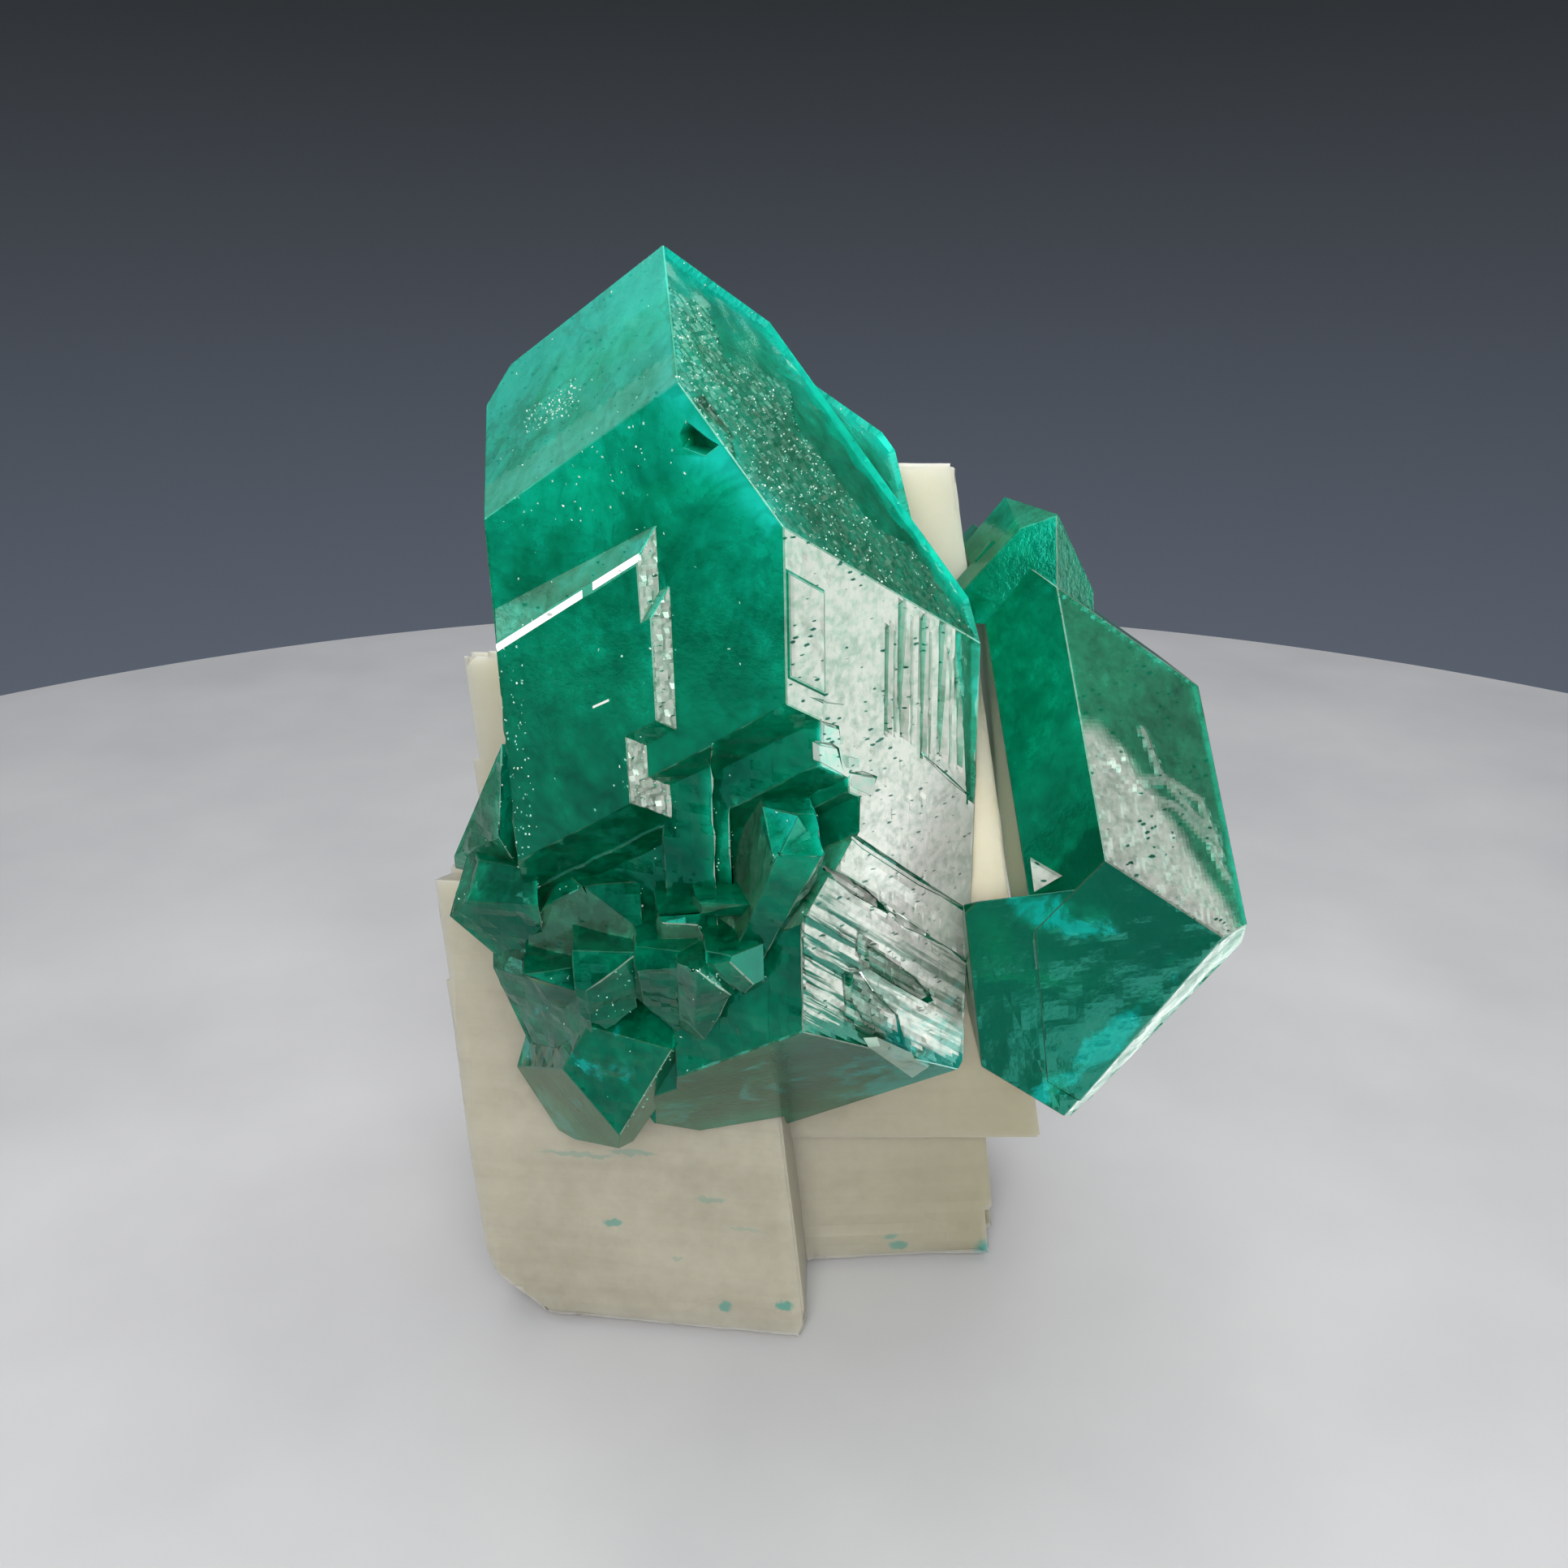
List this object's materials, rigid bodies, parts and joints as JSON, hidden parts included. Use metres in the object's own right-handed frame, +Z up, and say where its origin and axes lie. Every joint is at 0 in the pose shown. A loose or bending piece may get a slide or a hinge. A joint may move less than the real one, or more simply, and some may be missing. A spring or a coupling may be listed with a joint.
{
  "type": "mineral specimen",
  "caption": "Deep green dioptase crystals with flat faces, stepped growth plates and pointed ends, grown on a cleaved block of pale calcite that it stands on.",
  "frame": {"origin": "on the surface that the specimen stands on, below the middle of its outer box", "axes": "+Z up, along the main crystal's length; the viewer is at -Y, and the second crystal is at +X"},
  "size_m": [0.0228, 0.0184, 0.0306],
  "materials": {
    "calcite": "pale beige cleaved stone, softly glossy",
    "dioptase": "clear deep green crystal with glassy faces"
  },
  "bodies": {
    "root": {"calcite_matrix": "calcite", "main_crystal": "dioptase", "right_crystal": "dioptase"}
  },
  "joints": []
}
